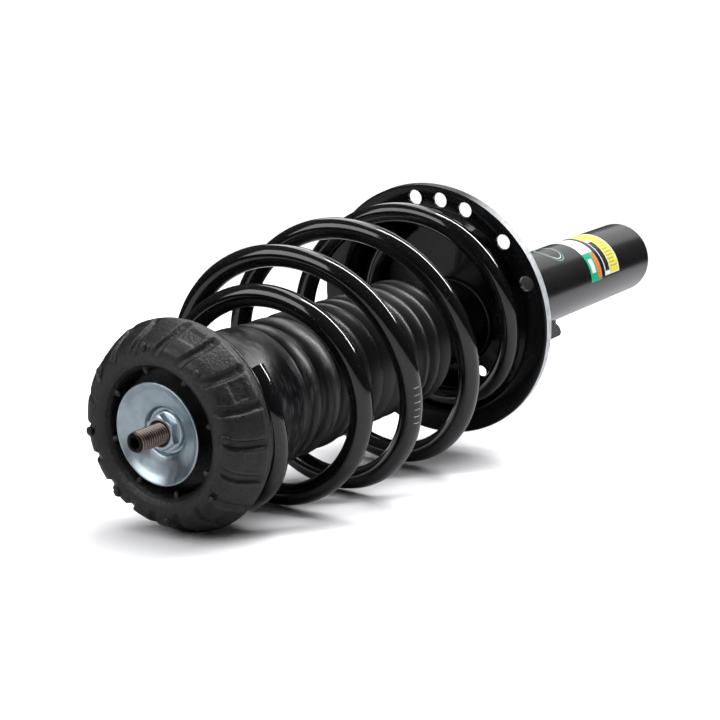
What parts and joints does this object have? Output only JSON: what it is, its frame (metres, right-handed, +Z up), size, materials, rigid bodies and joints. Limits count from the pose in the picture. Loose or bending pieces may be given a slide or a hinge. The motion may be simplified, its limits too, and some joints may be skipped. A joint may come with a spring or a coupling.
{
  "type": "suspension strut assembly",
  "caption": "Front suspension strut: damper tube inside a barrel coil spring, with a rubber top mount, steering bearing, dust boot and offset lower spring pan.",
  "frame": {"origin": "on the ground plane, under the middle of the bounding box of the strut as it lies on its side", "axes": "+Z up, +X along the ground towards the foot of the damper tube; the strut leans 5.4 degrees up towards +X"},
  "size_m": [0.582, 0.1742, 0.1822],
  "materials": {
    "gloss_black_paint": "gloss",
    "mount_rubber": "matt",
    "boot_rubber": "satin",
    "zinc_plate": "satin bright zinc plating",
    "rod_steel": "hard chrome with a phosphated thread",
    "plain_steel": "plain",
    "sintered_iron": "matt",
    "cast_aluminium": "as cast",
    "bearing_steel": "polished",
    "cage_nylon": "matt",
    "seal_rubber": "satin",
    "bump_foam": "matt foam"
  },
  "bodies": {
    "damper_body": {"strut_tube": "gloss_black_paint", "tube_closure": "gloss_black_paint", "tube_top_cap": "plain_steel", "rod_seal": "seal_rubber", "rod_guide": "cast_aluminium", "pressure_cylinder": "plain_steel", "foot_valve_body": "sintered_iron", "foot_valve_disc": "plain_steel", "lower_spring_seat": "gloss_black_paint", "hose_bracket": "gloss_black_paint", "coil_spring": "gloss_black_paint"},
    "spring_top_seat": {"upper_spring_plate": "gloss_black_paint", "bearing_lower_race": "bearing_steel", "dust_boot": "boot_rubber"},
    "bearing_cage_set": {"bearing_cage": "cage_nylon", "bearing_ball_01": "bearing_steel", "bearing_ball_02": "bearing_steel", "bearing_ball_03": "bearing_steel", "bearing_ball_04": "bearing_steel", "bearing_ball_05": "bearing_steel", "bearing_ball_06": "bearing_steel", "bearing_ball_07": "bearing_steel", "bearing_ball_08": "bearing_steel", "bearing_ball_09": "bearing_steel", "bearing_ball_10": "bearing_steel", "bearing_ball_11": "bearing_steel", "bearing_ball_12": "bearing_steel", "bearing_ball_13": "bearing_steel", "bearing_ball_14": "bearing_steel", "bearing_ball_15": "bearing_steel", "bearing_ball_16": "bearing_steel", "bearing_ball_17": "bearing_steel", "bearing_ball_18": "bearing_steel", "bearing_ball_19": "bearing_steel", "bearing_ball_20": "bearing_steel"},
    "top_mount": {"bearing_upper_race": "bearing_steel", "mount_rubber": "mount_rubber", "mount_core": "plain_steel", "top_washer": "zinc_plate", "top_nut": "zinc_plate", "piston_rod": "rod_steel", "piston": "sintered_iron", "piston_band": "seal_rubber", "compression_valve_disc": "plain_steel", "rebound_valve_disc": "plain_steel", "piston_nut": "plain_steel", "rebound_stop": "seal_rubber", "bump_stop": "bump_foam"}
  },
  "joints": [
    {"name": "strut_compression", "type": "slide", "parent": "damper_body", "child": "spring_top_seat", "axis": [0.9956, 0, 0.0941], "range_m": [0, 0.115], "stiffness_N_per_m": 25000, "springref_m": -0.02, "deforming": ["coil_spring", "dust_boot", "bump_stop"]},
    {"name": "steer_bearing", "type": "hinge", "parent": "spring_top_seat", "child": "top_mount", "pos_m": [-0.24163, 0.00072, 0.06101], "axis": [0.9956, 0, 0.0941], "continuous": true},
    {"name": "bearing_cage_turn", "type": "hinge", "parent": "spring_top_seat", "child": "bearing_cage_set", "pos_m": [-0.24163, 0.00072, 0.06101], "axis": [0.9956, 0, 0.0941], "continuous": true}
  ],
  "couplings": [
    {"joint": "bearing_cage_turn", "follows": "steer_bearing", "ratio": 0.5}
  ]
}
